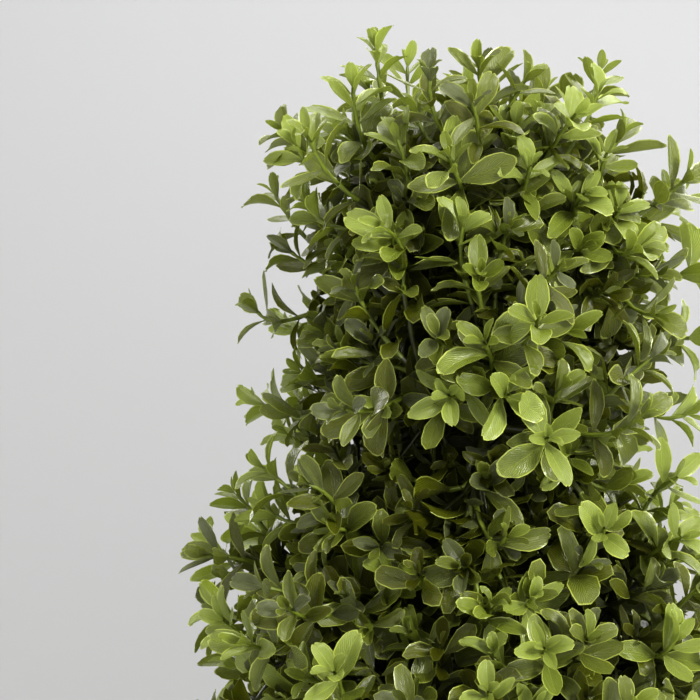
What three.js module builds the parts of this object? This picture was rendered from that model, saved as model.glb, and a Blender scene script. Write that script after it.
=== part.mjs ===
// A boxwood cone topiary of moulded plastic, standing in a plain round pot.
// Millimetres, +Z up. The origin is the centre of the pot's flat underside.
import * as THREE from "three";
import { mergeVertices } from "three/addons/utils/BufferGeometryUtils.js";

// Clearance between solids that meet
const GAP = 0.3;

// Pot: tapered and round, with a thicker band round its mouth
const POT_HEIGHT = 200;
const POT_FOOT_RADIUS = 90;
const POT_MOUTH_RADIUS = 117;
const POT_WALL = 6;
const POT_FLOOR = 8;
const FOOT_CHAMFER = 3;
const RIM_DEPTH = 26;
const RIM_STEP = 5;
const RIM_ROUND = 2;
const POT_SEGMENTS = 32;

// Fill: level, a little below the pot's mouth
const FILL_TOP = 174;

// Trunk: one tapering pole with a flared foot and a slight sway
const TRUNK_FOOT_RADIUS = 14;
const TRUNK_TIP_RADIUS = 6;
const FLARE = 0.3;
const FLARE_HEIGHT = 30;
const SWAY = 3;
const SWAY_WAVES = 1.5;
const TRUNK_SIDES = 12;
const TRUNK_STEPS = 10;

// Crown: a blunt cone with a domed top, a waist under its topmost bunch, a bulge below that
// and a rounded hem
const CROWN_BOTTOM = 232;
const CROWN_HEIGHT = 800;
const CROWN_TOP = CROWN_BOTTOM + CROWN_HEIGHT;
const SHOULDER_RADIUS = 102;
const SHOULDER_DEPTH = 75;
const SHOULDER_POWER = 2;
const CROWN_SLOPE = 0.125;
const WAIST = 20;
const WAIST_DEPTH = 187;
const WAIST_SPREAD = 30;
const BULGE = 8;
const BULGE_DEPTH = 275;
const BULGE_SPREAD = 50;
const HEM_DEPTH = 55;
const HEM_DRAW = 0.2;
const OUTLINE_PRECISION = 0.03;

// Masses of foliage: one crest over a spiral of masses that share the flank's area evenly
const MASSES = 23;
const FIRST_DEPTH = 92;
const LAST_DEPTH = 722;
const GOLDEN_TURN = Math.PI * (3 - Math.sqrt(5));
const CREVICE = 3;
const CORE_SHARE = 0.36;
const CENTRE_SHARE = 0.68;
const CREST_CENTRE_DEPTH = 42;
const CREST_DEPTH = 105;
const MASS_HALF_WIDTH = 85;
const MASS_DETAIL = 3;
const CORNER_POWER = 16;

// Swells of a mass's outer face
const SWELL = 7;
const SWELL_WAVES = 5;
const SWELL_LENGTHS = [130, 290];

// Boughs: each leaves the trunk level, climbs, and ends where it enters its mass
const BOUGH_ROOT_RADIUS = 4.6;
const BOUGH_END_RADIUS = 2.8;
const BOUGH_CLIMB = 0.75;
const BOUGH_LEVEL_SHARE = 0.45;
const BOUGH_SIDES = 6;
const BOUGH_STEPS = 3;

// The seed of the masses' swells, and the factor and modulus of the number stream
const SEED = 41;
const STREAM_FACTOR = 48271;
const STREAM_MODULUS = 2 ** 31 - 1;

const plastic = (color, roughness) =>
  new THREE.MeshStandardMaterial({ color, roughness, metalness: 0 });
const MATERIALS = {
  pot: plastic(0x2b2c2c, 0.6),
  fill: plastic(0x2a211a, 0.95),
  trunk: plastic(0x2c3318, 0.45),
  bough: plastic(0x36401d, 0.45),
  foliage: plastic(0x5e7431, 0.55),
};

const model = new THREE.Group();

function add(name, geometry, material) {
  geometry.deleteAttribute("normal");
  geometry.deleteAttribute("uv");
  const mesh = new THREE.Mesh(mergeVertices(geometry), material);
  mesh.name = name;
  model.add(mesh);
  return mesh;
}

// A repeatable stream of numbers from 0 to 1
function seeded(seed) {
  let state = seed;
  return () => {
    state = (state * STREAM_FACTOR) % STREAM_MODULUS;
    return state / STREAM_MODULUS;
  };
}

const between = (random, [low, high]) => low + (high - low) * random();

// Moves every vertex of a geometry to place(vertex)
function reshape(geometry, place) {
  const position = geometry.getAttribute("position");
  const vertex = new THREE.Vector3();
  for (let i = 0; i < position.count; i += 1) {
    const moved = place(vertex.fromBufferAttribute(position, i));
    position.setXYZ(i, moved.x, moved.y, moved.z);
  }
  return geometry;
}

// Turns a profile of [radius, height] pairs round the Z axis
function turned(profile) {
  const points = profile.map(([radius, height]) => new THREE.Vector2(radius, height));
  return new THREE.LatheGeometry(points, POT_SEGMENTS).rotateX(Math.PI / 2);
}

// Pot and fill ---------------------------------------------------------------------------

// The pot's outer radius at a height, without its rim band
function potRadius(height) {
  return THREE.MathUtils.lerp(POT_FOOT_RADIUS, POT_MOUTH_RADIUS, height / POT_HEIGHT);
}

function makePot() {
  const rimBottom = POT_HEIGHT - RIM_DEPTH;
  const rimRadius = POT_MOUTH_RADIUS + RIM_STEP;
  const mouthRadius = POT_MOUTH_RADIUS - POT_WALL;
  add("pot", turned([
    [0, 0],
    [POT_FOOT_RADIUS - FOOT_CHAMFER, 0],
    [potRadius(FOOT_CHAMFER), FOOT_CHAMFER],
    [potRadius(rimBottom), rimBottom],
    [rimRadius - RIM_ROUND, rimBottom + RIM_ROUND],
    [rimRadius, POT_HEIGHT - RIM_ROUND],
    [rimRadius - RIM_ROUND, POT_HEIGHT],
    [mouthRadius + RIM_ROUND, POT_HEIGHT],
    [potRadius(POT_HEIGHT - RIM_ROUND) - POT_WALL, POT_HEIGHT - RIM_ROUND],
    [potRadius(POT_FLOOR) - POT_WALL, POT_FLOOR],
    [0, POT_FLOOR],
  ]), MATERIALS.pot);
}

function makeFill() {
  const floor = POT_FLOOR + GAP;
  const inset = POT_WALL + 2 * GAP;
  add("pot_fill", turned([
    [0, floor],
    [potRadius(floor) - inset, floor],
    [potRadius(FILL_TOP) - inset, FILL_TOP],
    [0, FILL_TOP],
  ]), MATERIALS.fill);
}

// Trunk ----------------------------------------------------------------------------------

const CREST_FLOOR = CROWN_TOP - CREST_DEPTH;
const TRUNK_LENGTH = CREST_FLOOR - GAP - FILL_TOP;

function trunkRadius(height) {
  const climbed = height - FILL_TOP;
  const taper = THREE.MathUtils.lerp(TRUNK_FOOT_RADIUS, TRUNK_TIP_RADIUS, climbed / TRUNK_LENGTH);
  return taper * (1 + FLARE * Math.max(1 - climbed / FLARE_HEIGHT, 0) ** 2);
}

// The centre of the trunk at a height
function trunkCentre(height) {
  const turn = (2 * Math.PI * SWAY_WAVES * (height - FILL_TOP)) / TRUNK_LENGTH;
  return new THREE.Vector3(SWAY * Math.sin(turn), SWAY * (Math.cos(turn) - 1) / 2, height);
}

function makeTrunk() {
  const pole = new THREE.CylinderGeometry(1, 1, TRUNK_LENGTH, TRUNK_SIDES, TRUNK_STEPS);
  pole.rotateX(Math.PI / 2).translate(0, 0, FILL_TOP + TRUNK_LENGTH / 2);
  add("trunk", reshape(pole, (vertex) => {
    const height = THREE.MathUtils.clamp(vertex.z, FILL_TOP, FILL_TOP + TRUNK_LENGTH);
    const centre = trunkCentre(height);
    return vertex.setZ(0).multiplyScalar(trunkRadius(height)).add(centre);
  }), MATERIALS.trunk);
}

// Masses of foliage ----------------------------------------------------------------------

// The crown's mean radius at a height
function crownRadius(height) {
  const depth = THREE.MathUtils.clamp(CROWN_TOP - height, 0, CROWN_HEIGHT);
  const rise = 1 - Math.min(depth / SHOULDER_DEPTH, 1);
  const dome = (1 - rise ** SHOULDER_POWER) ** (1 / SHOULDER_POWER);
  const flank = CROWN_SLOPE * Math.max(depth - SHOULDER_DEPTH, 0);
  const waist = WAIST * Math.exp(-(((depth - WAIST_DEPTH) / WAIST_SPREAD) ** 2));
  const bulge = BULGE * Math.exp(-(((depth - BULGE_DEPTH) / BULGE_SPREAD) ** 2));
  const hem = Math.max(1 - (CROWN_HEIGHT - depth) / HEM_DEPTH, 0);
  return (SHOULDER_RADIUS * dome + flank - waist + bulge) * (1 - HEM_DRAW * hem ** 2);
}

// A direction spread evenly over the sphere
function spread(random) {
  const z = 2 * random() - 1;
  const turn = 2 * Math.PI * random();
  const flat = Math.sqrt(1 - z * z);
  return new THREE.Vector3(flat * Math.cos(turn), flat * Math.sin(turn), z);
}

// A smooth uneven height over space, made of a few long waves
function swells(random) {
  const waves = Array.from({ length: SWELL_WAVES }, () => {
    const wave = spread(random).multiplyScalar((2 * Math.PI) / between(random, SWELL_LENGTHS));
    return { wave, phase: 2 * Math.PI * random() };
  });
  const share = SWELL / Math.sqrt(SWELL_WAVES);
  return (point) =>
    waves.reduce((sum, { wave, phase }) => sum + share * Math.sin(wave.dot(point) + phase), 0);
}

// The way from a centre along a direction to a plane, whose inner side has normal.p < offset
function wayToPlane(centre, direction, { normal, offset }) {
  const closing = normal.dot(direction);
  return closing > 0 ? (offset - normal.dot(centre)) / closing : Infinity;
}

// The way from a centre along a direction to the crown's outline, found by halving
function wayToOutline(centre, direction) {
  let inside = 0;
  let outside = CROWN_HEIGHT;
  while (outside - inside > OUTLINE_PRECISION) {
    const way = (inside + outside) / 2;
    const point = centre.clone().addScaledVector(direction, way);
    const within = Math.hypot(point.x, point.y) < crownRadius(point.z) && point.z < CROWN_TOP;
    if (within) inside = way;
    else outside = way;
  }
  return inside;
}

// The plane halfway between a centre and its neighbour, drawn in by half a crevice
function planeTowards(centre, neighbour) {
  const normal = neighbour.clone().sub(centre).normalize();
  const middle = centre.clone().add(neighbour).multiplyScalar(0.5);
  return { normal, offset: normal.dot(middle) - CREVICE / 2 };
}

// A rounded block that fills the space between its planes and the crown's outline, with
// halves for the rough half sizes along X, Y and Z of a frame turned to the azimuth
function makeMass(name, { centre, azimuth, halves }, planes, random) {
  const swell = swells(random);
  const upright = new THREE.Vector3(0, 0, 1);
  const ball = new THREE.IcosahedronGeometry(1, MASS_DETAIL);
  const block = reshape(ball, (vertex) => {
    const direction = vertex.clone().multiply(halves).applyAxisAngle(upright, azimuth).normalize();
    const outline = wayToOutline(centre, direction);
    const skin = centre.clone().addScaledVector(direction, outline);
    const ways = planes.map((plane) => wayToPlane(centre, direction, plane));
    ways.push(outline + swell(skin));
    const way = ways.reduce((sum, w) => sum + w ** -CORNER_POWER, 0) ** (-1 / CORNER_POWER);
    return vertex.copy(direction).multiplyScalar(way);
  });
  add(name, block, MATERIALS.foliage).position.copy(centre);
}

function crestPlace() {
  const centre = new THREE.Vector3(0, 0, CROWN_TOP - CREST_CENTRE_DEPTH);
  const halves = new THREE.Vector3(SHOULDER_RADIUS, SHOULDER_RADIUS, CREST_DEPTH / 2);
  return { centre, azimuth: 0, halves };
}

// The flank's masses from the highest down, on a golden spiral of equal areas
function flankPlaces() {
  const flankRadius = (depth) => crownRadius(CROWN_TOP - depth);
  const first = flankRadius(FIRST_DEPTH) ** 2;
  const last = flankRadius(LAST_DEPTH) ** 2;
  return Array.from({ length: MASSES }, (_, number) => {
    const radius = Math.sqrt(THREE.MathUtils.lerp(first, last, number / (MASSES - 1)));
    const depth = SHOULDER_DEPTH + (radius - SHOULDER_RADIUS) / CROWN_SLOPE;
    const azimuth = GOLDEN_TURN * number;
    const out = CENTRE_SHARE * radius;
    const core = CORE_SHARE * radius;
    const outward = new THREE.Vector3(Math.cos(azimuth), Math.sin(azimuth), 0);
    const centre = outward.clone().multiplyScalar(out).setZ(CROWN_TOP - depth);
    const halves = new THREE.Vector3(out - core, MASS_HALF_WIDTH, MASS_HALF_WIDTH);
    return { centre, azimuth, halves, outward, core };
  });
}

const twoDigits = (number) => String(number).padStart(2, "0");

function makeFoliage(random) {
  const crest = crestPlace();
  const flank = flankPlaces();
  const upright = new THREE.Vector3(0, 0, 1);
  const planesOf = (own, floor) => [crest, ...flank]
    .filter((other) => other.centre !== own.centre)
    .map((other) => planeTowards(own.centre, other.centre))
    .concat({ normal: upright.clone().negate(), offset: -floor });
  makeMass("mass_crest", crest, planesOf(crest, CREST_FLOOR), random);
  flank.forEach((place, number) => {
    const inner = { normal: place.outward.clone().negate(), offset: -place.core };
    const name = twoDigits(number + 1);
    makeMass(`mass_${name}`, place, [...planesOf(place, CROWN_BOTTOM), inner], random);
    makeBough(`bough_${name}`, place);
  });
}

// Boughs ---------------------------------------------------------------------------------

// Bends a unit tube along a path in an upright plane, tapering from its root to its end
function bentTube(path, sideways) {
  const tube = new THREE.CylinderGeometry(1, 1, 1, BOUGH_SIDES, BOUGH_STEPS);
  return reshape(tube, (vertex) => {
    const along = THREE.MathUtils.clamp(vertex.y + 0.5, 0, 1);
    const upward = sideways.clone().cross(path.getTangent(along));
    const radius = THREE.MathUtils.lerp(BOUGH_ROOT_RADIUS, BOUGH_END_RADIUS, along);
    return path.getPoint(along)
      .addScaledVector(sideways, radius * vertex.x)
      .addScaledVector(upward, radius * vertex.z);
  });
}

function makeBough(name, { centre, outward, core }) {
  const sideways = outward.clone().cross(new THREE.Vector3(0, 0, 1));
  const end = outward.clone().multiplyScalar(core - GAP).setZ(centre.z);
  const root = trunkCentre(centre.z - BOUGH_CLIMB * (core - trunkRadius(centre.z)));
  root.addScaledVector(outward, trunkRadius(root.z) + GAP);
  const level = BOUGH_LEVEL_SHARE * Math.hypot(end.x - root.x, end.y - root.y);
  const path = new THREE.CubicBezierCurve3(
    root,
    root.clone().addScaledVector(outward, level),
    end.clone().addScaledVector(outward, -level),
    end,
  );
  add(name, bentTube(path, sideways), MATERIALS.bough);
}

makePot();
makeFill();
makeTrunk();
makeFoliage(seeded(SEED));

export default model;
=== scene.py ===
"""An artificial boxwood cone topiary: sprays of moulded leaves on boughs, a stem, a pot and its fill.

Everything is built round the packed frame, in metres, +Z up. Each mass of foliage in the frame is replaced
by sprays that branch on from the end of its bough and fill the mass out to its skin.
"""

import math
from typing import NamedTuple

import bmesh
import bpy
import numpy as np
from bpy.props import FloatProperty, FloatVectorProperty, IntProperty, PointerProperty
from mathutils import Matrix, Vector, noise


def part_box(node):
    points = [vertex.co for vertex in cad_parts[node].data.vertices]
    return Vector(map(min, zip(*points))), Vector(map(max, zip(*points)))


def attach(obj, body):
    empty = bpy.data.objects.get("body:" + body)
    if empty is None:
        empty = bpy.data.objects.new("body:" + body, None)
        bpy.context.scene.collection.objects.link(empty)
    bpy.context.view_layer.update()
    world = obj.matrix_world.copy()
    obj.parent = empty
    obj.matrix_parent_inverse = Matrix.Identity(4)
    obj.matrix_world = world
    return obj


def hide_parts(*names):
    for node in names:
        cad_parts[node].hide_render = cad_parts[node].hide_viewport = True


bl_info = {
    "name": "Boxwood Cone Topiary",
    "version": (1, 0, 0),
    "blender": (4, 5, 0),
    "location": "3D View > Sidebar > Topiary",
    "description": "Builds the foliage, stem, boughs, pot and fill of an artificial boxwood cone",
    "category": "Add Mesh",
}

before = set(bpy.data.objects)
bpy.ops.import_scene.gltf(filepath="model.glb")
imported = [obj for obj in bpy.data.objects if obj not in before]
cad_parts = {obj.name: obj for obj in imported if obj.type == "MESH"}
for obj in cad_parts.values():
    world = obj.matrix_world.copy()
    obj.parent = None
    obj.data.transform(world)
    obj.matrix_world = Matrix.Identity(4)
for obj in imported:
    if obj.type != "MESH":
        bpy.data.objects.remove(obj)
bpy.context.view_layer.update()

MM = 0.001
UP = np.array((0.0, 0.0, 1.0))
MASS_NODES = sorted(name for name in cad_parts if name.startswith("mass_"))
BOUGH_NODES = sorted(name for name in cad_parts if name.startswith("bough_"))
CROWN_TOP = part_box("mass_crest")[1].z
CROWN_BOTTOM = min(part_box(name)[0].z for name in MASS_NODES)


# Settings -------------------------------------------------------------------------------


def colour(name, description, value):
    return FloatVectorProperty(
        name=name, description=description, default=value, subtype="COLOR", min=0.0, max=1.0
    )


def length(name, description, value):
    return FloatProperty(
        name=name, description=description, default=value, min=0.0, unit="LENGTH", subtype="DISTANCE"
    )


def share(name, description, value):
    return FloatProperty(
        name=name, description=description, default=value, min=0.0, max=1.0, subtype="FACTOR"
    )


def power(name, description, value):
    return FloatProperty(name=name, description=description, default=value, min=0.0, unit="POWER")


class TopiaryFoliage(bpy.types.PropertyGroup):
    """Sizes and numbers of the sprays and their leaves"""

    seed: IntProperty(name="Seed", description="Start of the branching rule's number stream", default=43)
    outer_spacing: length("Outer spacing", "Least distance between the tips of outer sprays", 0.0225)
    inner_spacing: length("Inner spacing", "Least distance between the tips of inner sprays", 0.025)
    core_spacing: length("Core spacing", "Least distance between the tips of core sprays", 0.036)
    inner_depth: length("Inner depth", "How far inner sprays stop short of the skin", 0.038)
    core_depth: length("Core depth", "How far core sprays stop short of the skin", 0.075)
    reach: length("Reach", "How far the longest outer sprays pass the skin", 0.007)
    raggedness: length("Raggedness", "How unevenly the outer sprays reach out", 0.045)
    boss_size: length("Boss size", "Size of the bosses and hollows of the crown", 0.055)
    hollow_depth: length("Hollow depth", "How far the sprays stand back in the hollows", 0.034)
    hollow_gaps: share("Hollow gaps", "Share of the sprays that the hollows lack", 0.3)
    leafy_length: length("Leafy length", "Length of each spray that carries leaves", 0.056)
    leaf_length: length("Leaf length", "Length of the largest leaves", 0.0225)
    leaf_slimness: share("Leaf slimness", "Half width of a leaf as a share of its length", 0.24)
    fresh_share: share("Fresh share", "Share of outer sprays that end in lime leaves", 0.36)
    # Lime leans to the bosses as young growth, and the darker tints, painted shade, lean to the hollows
    patchiness: share("Patchiness", "How much more lime the bosses are than the hollows", 0.25)


class TopiaryColours(bpy.types.PropertyGroup):
    """Base colours of the moulded plastics, and a darker leaf tint that paints the shade inside the crown"""

    lime: colour("Lime", "Youngest leaves", (0.240, 0.292, 0.056))
    fresh: colour("Fresh", "Leaves below the youngest", (0.174, 0.214, 0.028))
    mid: colour("Mid", "Grown leaves", (0.126, 0.149, 0.020))
    deep: colour("Deep", "Old leaves", (0.090, 0.102, 0.006))
    grey: colour("Grey", "Dull leaves inside the crown", (0.104, 0.118, 0.045))
    # Painted shade: this olive is a darker copy of the leaf colour, for leaves deep in the crown
    olive: colour("Olive", "Leaves in the shade of the crown", (0.056, 0.061, 0.004))
    edge: colour("Edge", "Line round each leaf, which shows most on the young ones", (0.50, 0.56, 0.11))
    stem: colour("Stem", "Stem, boughs and inner twigs", (0.040, 0.046, 0.009))
    shoot: colour("Shoot", "Outer twigs", (0.150, 0.190, 0.024))
    pot: colour("Pot", "Pot", (0.024, 0.025, 0.026))
    soil: colour("Soil", "Fill in the pot", (0.030, 0.020, 0.012))


class TopiaryPot(bpy.types.PropertyGroup):
    """Sizes of the pot that its outer box doesn't give"""

    wall: length("Wall", "Thickness of the wall", 0.006)
    floor: length("Floor", "Thickness of the floor", 0.008)
    rim_depth: length("Rim depth", "Height of the band round the mouth", 0.026)
    rim_step: length("Rim step", "How far the band stands out of the wall", 0.005)
    foot_radius: length("Foot radius", "Radius of the wall at the underside", 0.090)
    foot_width: length("Foot width", "Width of the ring that the pot stands on", 0.012)
    foot_rise: length("Foot rise", "Depth of the hollow inside that ring", 0.002)
    edge: length("Edge", "Radius of the rounded edges", 0.0015)


class TopiaryStudio(bpy.types.PropertyGroup):
    """Camera, lights and floor"""

    frame_size: length("Frame size", "Width that the picture covers at the stem", 0.308)
    distance: length("Distance", "From the camera to the stem", 1.25)
    aside: length("Aside", "How far left of the stem the camera looks", 0.0537)
    below_top: length("Below top", "How far below the crown's top the camera looks", 0.1435)
    floor_radius: length("Floor radius", "Radius of the flat floor", 5.5)
    cove: length("Cove", "Radius of the curve from the floor to the wall", 2.5)
    wall_height: length("Wall height", "Height of the wall above the curve", 2.0)
    # Painted light: between these heights the wall is painted paler, as if lit from above
    shading: FloatVectorProperty(
        name="Shading", description="Heights between which the wall pales", size=2, default=(-0.6, 2.7)
    )
    key: power("Key", "Power of the key light", 97.0)
    fill: power("Fill", "Power of the fill light", 11.0)
    rim: power("Rim", "Power of the light above and behind the crown", 28.0)
    side: power("Side", "Power of the light behind each side", 12.0)
    # Painted light: a glow that only the camera sees on the floor and wall
    backdrop: FloatProperty(name="Backdrop", description="Glow of the backdrop in the picture", default=0.08)
    sky: FloatProperty(name="Sky", description="Strength of the light from above", default=0.88)


# Node helpers ---------------------------------------------------------------------------


class Nodes:
    """Short ways to add nodes to a tree and wire them"""

    def __init__(self, tree):
        self.tree = tree

    def feed(self, socket, value):
        if isinstance(value, bpy.types.NodeSocket):
            self.tree.links.new(value, socket)
        else:
            socket.default_value = value

    def add(self, kind, inputs=None, **settings):
        node = self.tree.nodes.new(kind)
        for name, value in settings.items():
            setattr(node, name, value)
        for name, value in (inputs or {}).items():
            self.feed(node.inputs[name], value)
        return node

    def maths(self, operation, *values):
        return self.add("ShaderNodeMath", dict(enumerate(values)), operation=operation).outputs[0]

    def ramp(self, value, low, high):
        """0 below low, 1 above high, smooth between them"""
        inputs = {"Value": value, "From Min": low, "From Max": high}
        return self.add("ShaderNodeMapRange", inputs, interpolation_type="SMOOTHSTEP").outputs["Result"]

    def mix(self, factor, first, second):
        node = self.add("ShaderNodeMix", data_type="RGBA")
        for socket, value in zip((node.inputs[0], node.inputs[6], node.inputs[7]), (factor, first, second)):
            self.feed(socket, value)
        return node.outputs[2]


def rgba(values, gain=1.0):
    return (*(min(value * gain, 1.0) for value in values), 1.0)


def new_group(name, inputs, outputs):
    """A shader group with an input for each (name, kind, default) and a float for each output's name"""
    group = bpy.data.node_groups.new(name, "ShaderNodeTree")
    for label, kind, default in inputs:
        socket = group.interface.new_socket(label, in_out="INPUT", socket_type=f"NodeSocket{kind}")
        if default is not None:
            socket.default_value = default
    for label in outputs:
        group.interface.new_socket(label, in_out="OUTPUT", socket_type="NodeSocketFloat")
    return group, Nodes(group)


def leaf_pattern():
    """Group: the edge line, midrib, veins and grain of a leaf, from its own map"""
    if "Leaf pattern" in bpy.data.node_groups:
        return bpy.data.node_groups["Leaf pattern"]
    outputs = ("Edge", "Rib", "Along", "Vein", "Relief", "Sheen")
    group, nodes = new_group("Leaf pattern", [("Map", "Vector", None)], outputs)
    given = nodes.add("NodeGroupInput").outputs["Map"]
    split = nodes.add("ShaderNodeSeparateXYZ", {0: given})
    along = split.outputs["Y"]
    aside = nodes.maths("ABSOLUTE", nodes.maths("MULTIPLY_ADD", split.outputs["X"], 2.0, -1.0))
    edge = nodes.maths("MAXIMUM", nodes.ramp(aside, 0.885, 0.925), nodes.ramp(along, 0.955, 0.975))
    narrowing = nodes.maths("MULTIPLY_ADD", along, -0.05, 0.085)
    rib = nodes.maths("SUBTRACT", 1.0, nodes.ramp(aside, 0.012, narrowing))
    grain = nodes.add("ShaderNodeTexNoise", {"Vector": given, "Scale": 7.0, "Detail": 3.0}).outputs[0]
    rise = nodes.maths("MULTIPLY_ADD", aside, -0.55, along)
    rise = nodes.maths("MULTIPLY_ADD", grain, 0.13, rise)
    ripple = nodes.maths("PINGPONG", nodes.maths("MULTIPLY", rise, 13.0), 0.5)
    inside = nodes.maths("SUBTRACT", 1.0, nodes.ramp(aside, 0.7, 0.92))
    vein = nodes.maths("MULTIPLY", nodes.ramp(ripple, 0.0, 0.5), inside)
    relief = nodes.maths("MULTIPLY_ADD", rib, -1.0, nodes.maths("MULTIPLY", edge, 0.9))
    relief = nodes.maths("MULTIPLY_ADD", vein, 0.75, relief)
    relief = nodes.maths("MULTIPLY_ADD", grain, 1.1, relief)
    sheen = nodes.maths("MULTIPLY_ADD", vein, 0.4, nodes.maths("MULTIPLY", grain, 0.6))
    results = {"Edge": edge, "Rib": rib, "Along": along, "Vein": vein, "Relief": relief, "Sheen": sheen}
    nodes.add("NodeGroupOutput", results)
    return group


def moulding_grain():
    """Group: the cloudy tone and fine relief that moulded plastic keeps from its tool"""
    if "Moulding grain" in bpy.data.node_groups:
        return bpy.data.node_groups["Moulding grain"]
    inputs = [("Place", "Vector", None), ("Clouds", "Float", 10.0), ("Pits", "Float", 100.0)]
    group, nodes = new_group("Moulding grain", inputs, ("Tone", "Relief"))
    given = nodes.add("NodeGroupInput").outputs
    clouds = {"Vector": given["Place"], "Scale": given["Clouds"], "Detail": 4.0}
    tone = nodes.add("ShaderNodeTexNoise", clouds).outputs[0]
    pits = nodes.add("ShaderNodeTexNoise", {"Vector": given["Place"], "Scale": given["Pits"], "Detail": 2.0})
    relief = nodes.maths("MULTIPLY_ADD", tone, 0.6, pits.outputs[0])
    nodes.add("NodeGroupOutput", {"Tone": nodes.ramp(tone, 0.3, 0.7), "Relief": relief})
    return group


def new_material(name):
    """A material with its tree cleared, its nodes and its Principled shader"""
    material = bpy.data.materials.new(name)
    material.use_nodes = True
    material.node_tree.nodes.clear()
    nodes = Nodes(material.node_tree)
    shader = nodes.add("ShaderNodeBsdfPrincipled")
    nodes.add("ShaderNodeOutputMaterial", {"Surface": shader.outputs[0]})
    return material, nodes, shader


def leaf_finish(name, blade, edge, edge_share, gloss):
    """Satin moulded leaf that lets some light through, with a paler midrib and a bright edge line"""
    material, nodes, shader = new_material(name)
    chart = nodes.add("ShaderNodeUVMap", uv_map="leaf").outputs[0]
    pattern = nodes.add("ShaderNodeGroup", node_tree=leaf_pattern())
    nodes.feed(pattern.inputs["Map"], chart)
    body = nodes.mix(pattern.outputs["Along"], rgba(blade, 0.84), rgba(blade, 1.12))
    lines = nodes.maths("MULTIPLY", pattern.outputs["Vein"], 0.14)
    lines = nodes.maths("MULTIPLY_ADD", pattern.outputs["Rib"], 0.7, lines)
    body = nodes.mix(lines, body, rgba(blade, 1.9))
    body = nodes.mix(nodes.maths("MULTIPLY", pattern.outputs["Edge"], edge_share), body, rgba(edge))
    bump = {"Height": pattern.outputs["Relief"], "Strength": 0.8, "Distance": 0.3 * MM}
    shader.inputs["Specular IOR Level"].default_value = gloss
    nodes.feed(shader.inputs["Base Color"], body)
    nodes.feed(shader.inputs["Roughness"], nodes.maths("MULTIPLY_ADD", pattern.outputs["Sheen"], 0.2, 0.19))
    nodes.feed(shader.inputs["Normal"], nodes.add("ShaderNodeBump", bump).outputs[0])
    glow = nodes.add("ShaderNodeBsdfTranslucent", {"Color": rgba(blade, 2.0)})
    both = nodes.add("ShaderNodeMixShader", {0: 0.2, 1: shader.outputs[0], 2: glow.outputs[0]})
    nodes.feed(nodes.tree.nodes["Material Output"].inputs["Surface"], both.outputs[0])
    return material


class Moulding(NamedTuple):
    """A plain finish: its clouds and pits are counted along a metre, or along the piece's own map"""

    roughness: float
    clouds: float
    pits: float
    depth: float
    contrast: float


TWIG_MOULDING = Moulding(0.34, 5.0, 24.0, 0.2 * MM, 0.3)
STEM_MOULDING = Moulding(0.42, 60.0, 900.0, 0.4 * MM, 0.35)
BOUGH_MOULDING = Moulding(0.40, 80.0, 1200.0, 0.3 * MM, 0.35)
POT_MOULDING = Moulding(0.55, 9.0, 1400.0, 0.25 * MM, 0.12)
FILL_MOULDING = Moulding(0.9, 160.0, 1500.0, 0.5 * MM, 0.45)


def moulded_finish(name, base, moulding, own_map=False):
    """Moulded plastic or crumbly fill: a tone that clouds over the piece, with fine relief"""
    material, nodes, shader = new_material(name)
    grain = nodes.add("ShaderNodeGroup", node_tree=moulding_grain())
    if own_map:
        nodes.feed(grain.inputs["Place"], nodes.add("ShaderNodeUVMap", uv_map="OFBake").outputs[0])
    else:
        nodes.feed(grain.inputs["Place"], nodes.add("ShaderNodeTexCoord").outputs["Object"])
    nodes.feed(grain.inputs["Clouds"], moulding.clouds)
    nodes.feed(grain.inputs["Pits"], moulding.pits)
    dark, pale = rgba(base, 1 - moulding.contrast), rgba(base, 1 + moulding.contrast)
    tone = nodes.mix(grain.outputs["Tone"], dark, pale)
    rough = nodes.maths("MULTIPLY_ADD", grain.outputs["Tone"], 0.14, moulding.roughness - 0.07)
    bump = {"Height": grain.outputs["Relief"], "Strength": 0.8, "Distance": moulding.depth}
    nodes.feed(shader.inputs["Base Color"], tone)
    nodes.feed(shader.inputs["Roughness"], rough)
    nodes.feed(shader.inputs["Normal"], nodes.add("ShaderNodeBump", bump).outputs[0])
    return material


# Curves and joined meshes ---------------------------------------------------------------


def unit(vector):
    return vector / np.maximum(np.linalg.norm(vector, axis=-1, keepdims=True), 1e-12)


def bezier(start, start_pull, end_pull, end, count):
    """Points along a cubic curve"""
    t = np.linspace(0.0, 1.0, count)[:, None]
    near, far = 1 - t, t
    return near**3 * start + 3 * near**2 * far * start_pull + 3 * near * far**2 * end_pull + far**3 * end


def path_lengths(points):
    return np.concatenate(([0.0], np.cumsum(np.linalg.norm(np.diff(points, axis=0), axis=1))))


def on_path(points, places):
    """Points and unit tangents of a path at distances along it"""
    lengths = path_lengths(points)
    slopes = np.gradient(points, axis=0)
    found = np.stack([np.interp(places, lengths, points[:, k]) for k in range(3)], axis=1)
    slope = np.stack([np.interp(places, lengths, slopes[:, k]) for k in range(3)], axis=1)
    return found, unit(slope)


def cross_frame(tangents):
    """Two unit vectors across each tangent, without a jump along a gently bent path"""
    guide = np.eye(3)[np.argmin(np.abs(tangents.sum(axis=0)))]
    sides = unit(np.cross(guide, tangents))
    return sides, np.cross(tangents, sides)


def link(obj):
    bpy.context.scene.collection.objects.link(obj)
    return obj


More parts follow.
